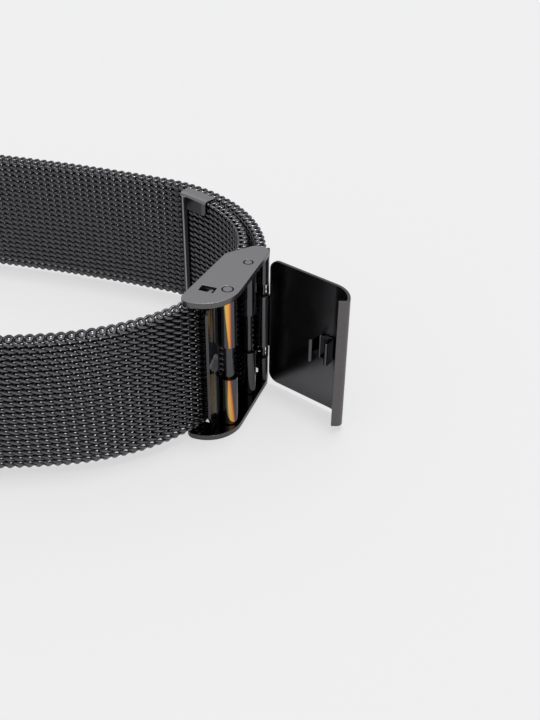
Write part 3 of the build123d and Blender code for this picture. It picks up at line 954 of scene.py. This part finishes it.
# %% [markdown]
# ## Base plate
#
# A plate on the mesh's inner side joins the two cheeks. It lies beside the band's own path, so
# it is a sheet along that path, shifted by the leaves' offset.

# %% Base plate along the mesh's inner face, from cheek to cheek
BASE_START = (-1.15, 4.4, -90)
BASE_MOVES = [(4.0, 0), (16.52, -16.5)]
BASE_HALF = 10.2
base_plate = bent_sheet(
    "base_plate_sheet", BASE_START, BASE_MOVES, (-BASE_HALF, BASE_HALF), shift=-LEAF_OFFSET,
)
dress(base_plate, "frame", black_plate, "black_plate", "base_plate")

# %% [markdown]
# ## Cheeks
#
# Each cheek is one flat plate with two round holes for the pins and a slot for the clamp bar's
# tab. A filled 2-D curve handles a plate with holes well: Blender fills between the outline and
# the holes, gives it a thickness and bevels every edge, the holes' too.


# %% Outlines with rounded corners
def rounded(points, radii, steps=10):
    """A closed outline: at each corner an arc of that radius, which meets both sides at a tangent.

    Its centre lies on the bisector, radius / sin(half the corner) from the corner. With a the part
    of the sweep that is left and b the part gone, a point lies at (first * sin a + last * sin b) /
    sin(sweep) from the centre.
    """
    points = np.array(points, float)
    radii = np.array(radii, float)[:, None]
    to_before, to_after = (np.roll(points, way, 0) - points for way in (1, -1))
    to_before /= np.linalg.norm(to_before, axis=1, keepdims=True)
    to_after /= np.linalg.norm(to_after, axis=1, keepdims=True)
    half = np.arccos(np.sum(to_before * to_after, axis=1, keepdims=True)) / 2
    bisector = (to_before + to_after) / np.linalg.norm(to_before + to_after, axis=1, keepdims=True)
    centre = points + bisector * radii / np.sin(half)
    first, last = ((points + way * radii / np.tan(half) - centre)[:, None] for way in (to_before, to_after))
    sweep = (np.pi - 2 * half)[:, None]
    share = np.linspace(0, 1, steps + 1)[:, None]
    arcs = (first * np.sin((1 - share) * sweep) + last * np.sin(share * sweep)) / np.sin(sweep)
    return (centre[:, None] + arcs).reshape(-1, 2)


def circle(at, radius, steps=40):
    """Points evenly round a circle."""
    angle = 2 * np.pi * np.arange(steps) / steps
    return np.stack((at[0] + radius * np.cos(angle), at[1] + radius * np.sin(angle)), -1)


# %% A flat plate with holes
CHEEK_SHARP_FROM = math.radians(35)
LEVEL = 0.99  # the least rise of a level face's normal


def cleaned(mesh, distance, sharp_from):
    """Merges points that nearly touch, turns the faces out, and marks edges sharper than the angle."""
    soup = bmesh.new()
    soup.from_mesh(mesh)
    bmesh.ops.remove_doubles(soup, verts=soup.verts, dist=distance)
    bmesh.ops.recalc_face_normals(soup, faces=soup.faces)
    soup.to_mesh(mesh)
    soup.free()
    mesh.set_sharp_from_angle(angle=sharp_from)


def filled_mesh(name, outlines, thick, edge):
    """The mesh of a filled curve of that thickness, whose edges are bevelled, in millimetres."""
    curve = bpy.data.curves.new(name, "CURVE")
    curve.dimensions = "2D"
    curve.fill_mode = "BOTH"
    curve.extrude = thick / 2 - edge
    curve.bevel_depth = edge
    curve.bevel_resolution = 2
    curve.offset = -edge
    for outline in outlines:
        spline = curve.splines.new("POLY")
        spline.points.add(len(outline) - 1)
        spots = np.column_stack((outline, np.zeros(len(outline)), np.ones(len(outline))))
        spline.points.foreach_set("co", spots.ravel())
        spline.use_cyclic_u = True
    holder = stand(name, curve)
    bpy.context.view_layer.update()
    mesh = bpy.data.meshes.new_from_object(holder.evaluated_get(bpy.context.evaluated_depsgraph_get()))
    bpy.data.objects.remove(holder)
    return mesh


def flat_plate(name, outlines, low, high, edge):
    """A plate between two heights, filled between its outline and its holes, with bevelled edges."""
    mesh = filled_mesh(name, outlines, high - low, edge)
    mesh.transform(Matrix.Scale(MM, 4) @ Matrix.Translation((0, 0, (low + high) / 2)))
    cleaned(mesh, 1e-8, CHEEK_SHARP_FROM)
    normals = np.zeros(3 * len(mesh.polygons))
    mesh.polygons.foreach_get("normal", normals)
    mesh.polygons.foreach_set("use_smooth", np.abs(normals[2::3]) < LEVEL)
    print(name, len(mesh.polygons), "faces")
    return stand(name, mesh)


# %% Both cheeks
CHEEK_THICK = 0.8
CHEEK_OUTER = 2.9
CHEEK_DEPTH = 6.5
CHEEK_LENGTH = 16.4
CHEEK_SHARES = ((1.0, 0.5), (1.0, -0.5), (0.0, -0.5), (0.185, 0.287), (0.646, 0.5))
CHEEK_RADII = (1.3, 4.9, 1.3, 1.3, 1.6)
CHEEK_TOP = 21.2
RIVET_GAP = 0.08
SLOT_AT = (-1.06, -4.45)
SLOT_HALF = (1.01, 0.65)
CLOSE = 0.02  # near enough to a plate's face to be part of it
cheek_points = (np.array(CHEEK_SHARES) - (1, 0)) * (CHEEK_DEPTH, CHEEK_LENGTH) + (CHEEK_OUTER, 0)
slot_points = np.array(SLOT_AT) + SLOT_HALF * np.array(((-1, -1), (1, -1), (1, 1), (-1, 1)))
cheek_outlines = (
    rounded(cheek_points, CHEEK_RADII),
    circle(LATCH_PIN_AT, LATCH_PIN_R + RIVET_GAP),
    circle(HOOK_PIN_AT, HOOK_PIN_R + RIVET_GAP),
    rounded(slot_points, (0.04,) * 4, 4),
)
for cheek_name, low, inner in (("lower_cheek", 0.0, CHEEK_THICK), ("upper_cheek", CHEEK_TOP, CHEEK_TOP)):
    cheek = flat_plate(cheek_name + "_plate", cheek_outlines, low, low + CHEEK_THICK, 0.06)
    heights = face_heights(cheek)
    faces_in = np.abs(heights - inner) < CLOSE
    mark_faces(cheek, "glossy", faces_in)
    mark_faces(cheek, "rim", ~faces_in & (np.abs(heights - MID_HEIGHT) < MID_HEIGHT - CLOSE))
    dress(cheek, "frame", satin_steel, "satin_steel", cheek_name)

# %% [markdown]
# ## Turned pieces
#
# Pins, sleeves, barrels and tips are turned on a lathe: a profile of radius against height,
# carried round an axis. Points of the profile that lie on the axis are merged, so that the ends
# are closed.

# %% A profile carried round an axis
TURNED_SHARP_FROM = math.radians(30)


def turned(name, at, profile, closed=False, steps=48):
    """A surface of revolution: x and y are the radius times cos and sin of the angle, about the axis.

    The profile is a list of (radius, height from mid width). A closed one ends where it starts.
    """
    radius, height = np.array(profile, float).T
    angle = 2 * np.pi * np.arange(steps) / steps
    points = np.stack((
        at[0] + radius[:, None] * np.cos(angle),
        at[1] + radius[:, None] * np.sin(angle),
        np.broadcast_to(MID_HEIGHT + height[:, None], (len(radius), steps)),
    ), -1)
    index = np.arange(points.shape[0] * steps).reshape(-1, steps)
    upper = np.roll(index, -1, 0) if closed else index[1:]
    lower = index if closed else index[:-1]
    quads = np.stack((lower, np.roll(lower, -1, 1), np.roll(upper, -1, 1), upper), -1).reshape(-1, 4)
    piece = put(name, points, outward(points, quads))
    cleaned(piece.data, 1e-7, TURNED_SHARP_FROM)
    print(name, len(piece.data.polygons), "faces")
    return piece


def mirrored(steps):
    """A profile from its upper half: the same steps follow in reverse, at their heights' negatives."""
    return steps + [(radius, -height) for radius, height in reversed(steps)]


def rod(radius, half, chamfer):
    """The profile of a round bar, as long each way as half, with a chamfer at each end."""
    return mirrored([(0, half), (radius - chamfer, half), (radius, half - chamfer)])


# %% Pins
PINS = (("latch_pin", LATCH_PIN_AT, LATCH_PIN_R), ("hook_pin", HOOK_PIN_AT, HOOK_PIN_R))
for pin_name, at, radius in PINS:
    pin = turned(pin_name + "_rod", at, rod(radius, MID_HEIGHT, 0.11))
    mark_faces(pin, "satin_and_crest_highlight", np.abs(face_heights(pin) - MID_HEIGHT) > MID_HEIGHT - CLOSE)
    dress(pin, "frame", pin_steel, "pin_steel", pin_name)
hinge_rod = turned("cover_hinge_rod", HINGE_AT, rod(0.3, LEAF_WIDTH / 2, 0.04))
dress(hinge_rod, "short_clasp", pin_steel, "pin_steel", "cover_hinge_pin")

# %% [markdown]
# ## Spring bars
#
# A sleeve at each watch end holds a spring bar: a hollow barrel with a coil spring inside, which
# pushes out a stepped tip at each side. The barrel and the tips are turned, and the spring is a
# real helix, so that it looks like one in a cutaway.

# %% Profiles of the sleeve, the barrel and the tips, as radius and height from mid width
LUG_R = 1.4
LUG_BORE = 0.85
LUG_LIP = 0.12
LUG_PROFILE = mirrored([
    (LUG_R, BAND_WIDTH / 2 - LUG_LIP), (LUG_R - LUG_LIP, BAND_WIDTH / 2),
    (LUG_BORE + LUG_LIP, BAND_WIDTH / 2), (LUG_BORE, BAND_WIDTH / 2 - LUG_LIP),
])
BARREL_R = 0.75
BARREL_BORE = 0.6
BARREL_MOUTH = 0.23
BARREL_HALF = 8.4
BARREL_ROOM = 8.13
BARREL_CHAMFER = 0.15
BARREL_PROFILE = mirrored([
    (BARREL_R, BARREL_HALF - BARREL_CHAMFER), (BARREL_R - BARREL_CHAMFER, BARREL_HALF),
    (BARREL_MOUTH, BARREL_HALF), (BARREL_MOUTH, BARREL_ROOM), (BARREL_BORE, BARREL_ROOM),
])
TIP_PROFILE = np.array([
    (0, 7.3), (0.57, 7.3), (0.57, 8.1), (0.2, 8.1), (0.2, 9.6), (0.65, 9.6), (0.7, 9.65), (0.7, 9.95),
    (0.65, 10.0), (0.4, 10.0), (0.4, 10.85), (0.25, 11.0), (0, 11.0),
])
print("steps of a tip:", len(TIP_PROFILE))

# %% Coil spring
SPRING_R = 0.57
SPRING_WIRE = 0.2
SPRING_HALF = 6.25
SPRING_TURNS = 25


def coil_spring(name, at, steps=16, sides=6):
    """A round wire along a helix: its middle goes round the axis and rises in step with the angle."""
    along = np.linspace(0, 1, SPRING_TURNS * steps + 1)[:, None]
    around = 2 * np.pi * np.arange(sides) / sides
    turn = 2 * np.pi * SPRING_TURNS * along
    radius = SPRING_R - SPRING_WIRE / 2 * (1 - np.cos(around))
    height = (2 * along - 1) * (SPRING_HALF - SPRING_WIRE / 2) + SPRING_WIRE / 2 * np.sin(around)
    x = at[0] + radius * np.cos(turn)
    y = at[1] + radius * np.sin(turn)
    points = np.stack((x, y, MID_HEIGHT + height), -1)
    index = np.arange(len(along) * sides).reshape(-1, sides)
    low, high = index[:-1], index[1:]
    quads = np.stack((low, high, np.roll(high, -1, 1), np.roll(low, -1, 1)), -1).reshape(-1, 4)
    spring = put(name, points, quads, np.array([index[0], index[-1][::-1]]))
    print(name, SPRING_TURNS, "turns,", len(spring.data.polygons), "faces")
    return spring


# %% Sleeves and spring bars at both watch ends
for half, lug in (("long", (-81.0971, -28.3436)), ("short", (-76.7583, 15.2952))):
    sleeve = turned(half + "_lug_sleeve", lug, LUG_PROFILE, closed=True)
    dress(sleeve, half + "_end", black_plate, "black_plate", half + "_lug_tube")
    barrel = turned(half + "_barrel", lug, BARREL_PROFILE, closed=True)
    dress(barrel, half + "_end", pin_steel, "pin_steel", half + "_spring_bar_barrel")
    spring = coil_spring(half + "_coil", lug)
    dress(spring, half + "_end", spring_steel, "spring_steel", half + "_spring_bar_spring")
    for side, way in (("upper", 1), ("lower", -1)):
        tip = turned(f"{half}_{side}_nib", lug, TIP_PROFILE * (1, way))
        dress(tip, f"{half}_{side}_tip", pin_steel, "pin_steel", f"{half}_{side}_tip")

# %% [markdown]
# ## Cap on the tail's end
#
# The tail ends in a thin folded cap. Its section across the band is a C: an ear over each edge
# of the mesh and a flange along the inner face. The two flanges are joined only by a strip at
# the very end, raised to a bead. The section is a path like any other, carried along the tail.

# %% Section of the cap: an ear, a flange, the strip, the other flange and the other ear
CAP_SHEET = 0.3
CAP_FLANGE = 2.2
CAP_FOLD = 0.35
cap_half = BAND_WIDTH / 2 + CAP_SHEET / 2
cap_in = BAND_THICK / 2 + CAP_SHEET / 2
strip_half = BAND_WIDTH / 2 - CAP_FLANGE
ear_moves = [(BAND_THICK / 2 + cap_in - CAP_FOLD, 0), (CAP_FOLD, -90)]
flange_move = (cap_half - CAP_FOLD - strip_half, 0)
section_start = (-BAND_THICK / 2, cap_half, 0)
section_moves = ear_moves + [flange_move, (2 * strip_half, 0), flange_move] + ear_moves[::-1]
section_marks = [path_length(section_moves[:count]) for count in range(2, 6)]
near_ear_to, flange_from, flange_to, far_ear_from = section_marks
section_lines = path_lines(section_moves)
print("cap section", round(path_length(section_moves), 2), "mm long")

# %% Both faces of the cap
CAP_LENGTH = 5.1
CAP_STRIP = 0.9
CAP_CORNER = 0.9
CAP_BEAD = 0.22
BEAD_LINES = 9
strip_from = CAP_LENGTH - CAP_STRIP
strip_to = CAP_LENGTH + CAP_SHEET
strip_lines = np.linspace(strip_from, strip_to, BEAD_LINES)
cap_lines = np.unique(np.concatenate((corner_lines(0, 1, CAP_CORNER, 15), strip_lines)))
s, t = np.meshgrid(cap_lines, section_lines, indexing="ij")
t = np.where(np.isclose(t, flange_from), flange_from - corner_inset(s, 0, 1, CAP_CORNER), t)
t = np.where(np.isclose(t, flange_to), flange_to + corner_inset(s, 0, 1, CAP_CORNER), t)
bead = CAP_BEAD * np.sin(np.pi * np.clip((s - strip_from) / (strip_to - strip_from), 0, 1))
bead *= (t > near_ear_to) & (t < far_ear_from)
cap_faces = []
for offset in (CAP_SHEET / 2, -CAP_SHEET / 2):
    inward, height, _ = follow(section_start, section_moves, t, offset)
    x, y, _ = follow(TAIL_START, TAIL_MOVES, CAP_LENGTH - s, -(inward + bead))
    cap_faces.append(np.stack((x, y, height + MID_HEIGHT), -1))
print("cap grid", s.shape)

# %% The cap: the lighter finish on its ears, a painted highlight along the bead's crest, and painted shade where the bead and the flanges turn away
CREST_HALF = 0.2
BEAD_SHADE = 0.9
FLANGE_SHADE = 0.6
cap_s = between(cap_lines)[:, None]
cap_t = between(section_lines)
in_strip = cap_s > strip_from
on_crest = in_strip & (np.abs(cap_s - (strip_from + strip_to) / 2) < CREST_HALF)
cap_ears = (cap_t < near_ear_to) | (cap_t > far_ear_from)
cap_keep = in_strip | (cap_t < flange_from) | (cap_t > flange_to)
# Painted shade on the bead's sides and on the flanges; the crest takes a painted highlight.
shaded = BEAD_SHADE * (in_strip & ~on_crest) + FLANGE_SHADE * (~in_strip & (cap_s > CAP_CORNER))
cap = thick_sheet("tail_cap_sheet", *cap_faces, cap_keep, 0.06, (0, 0, 0.6))
for label, share in (("satin_and_crest_highlight", cap_ears | on_crest), ("painted_cap_shade", shaded * ~cap_ears)):
    front = np.broadcast_to(share, cap_keep.shape)[cap_keep]
    mark_faces(cap, label, np.concatenate((front, np.zeros(len(cap.data.polygons) - len(front)))))
dress(cap, "frame", black_plate, "black_plate", "tail_end_cap")

# %% The wall that closes the cap's end
wall_x, wall_y, wall_heading = beside(TAIL_START, -cap_in)
cap_wall = bent_sheet(
    "tail_cap_wall", (wall_x, wall_y, wall_heading + 90), [(BAND_THICK / 2 + cap_in, 0)],
    (-BAND_WIDTH / 2, BAND_WIDTH / 2), thick=CAP_SHEET, shift=CAP_SHEET / 2, edge=0.05,
)
dress(cap_wall, "frame", black_plate, "black_plate")

# %% [markdown]
# ## The CAD node that stays
#
# The clamp bar already has the right shape, so only its material slot is filled.

# %% Material for the node that stays
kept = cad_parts["clamp_bar"]
kept.data.materials.clear()
kept.data.materials.append(satin_steel)
print("clamp_bar ->", satin_steel.name)
